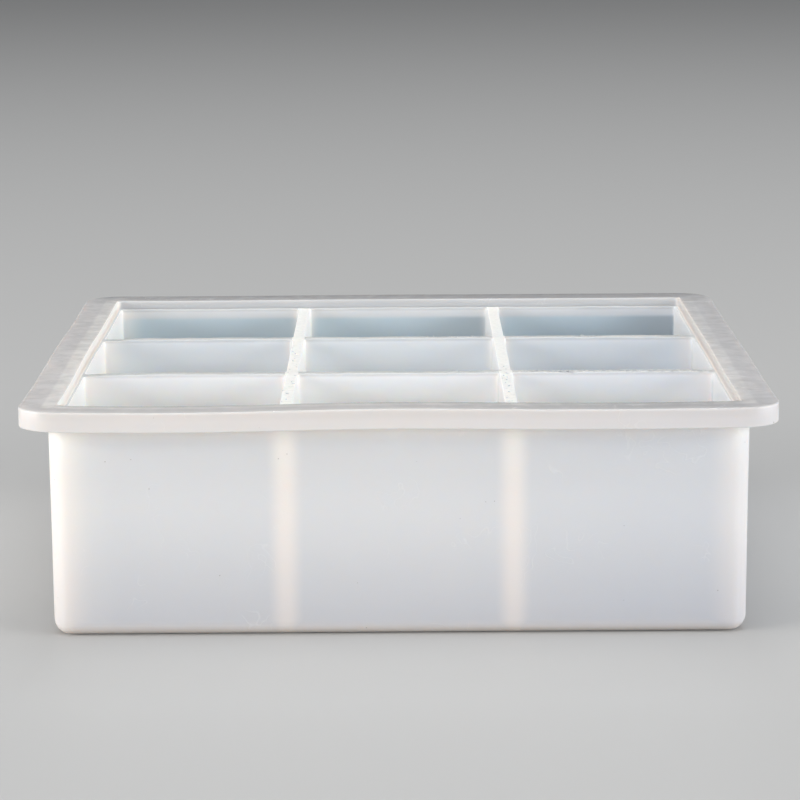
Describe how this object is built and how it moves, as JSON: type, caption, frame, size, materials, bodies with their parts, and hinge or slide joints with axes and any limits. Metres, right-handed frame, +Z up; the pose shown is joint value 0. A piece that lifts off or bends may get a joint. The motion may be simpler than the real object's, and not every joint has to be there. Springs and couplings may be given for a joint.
{
  "type": "soap mould",
  "caption": "Milky silicone soap mould: a square box of deep cube cells in a grid, open at the top, with a flat rim that stands out all round.",
  "frame": {"origin": "middle of the flat underside", "axes": "+X to the right, +Y to the back, +Z up out of the cells' mouths"},
  "size_m": [0.176, 0.176, 0.055],
  "materials": {
    "silicone": "milky translucent silicone, satin"
  },
  "bodies": {
    "root": {"base_panel": "silicone", "front_wall": "silicone", "right_wall": "silicone", "back_wall": "silicone", "left_wall": "silicone", "front_right_corner": "silicone", "back_right_corner": "silicone", "back_left_corner": "silicone", "front_left_corner": "silicone", "front_cross_divider": "silicone", "back_cross_divider": "silicone", "left_divider_front": "silicone", "left_divider_middle": "silicone", "left_divider_back": "silicone", "right_divider_front": "silicone", "right_divider_middle": "silicone", "right_divider_back": "silicone", "front_rim": "silicone", "right_rim": "silicone", "back_rim": "silicone", "left_rim": "silicone", "front_right_rim_corner": "silicone", "back_right_rim_corner": "silicone", "back_left_rim_corner": "silicone", "front_left_rim_corner": "silicone"}
  },
  "joints": []
}
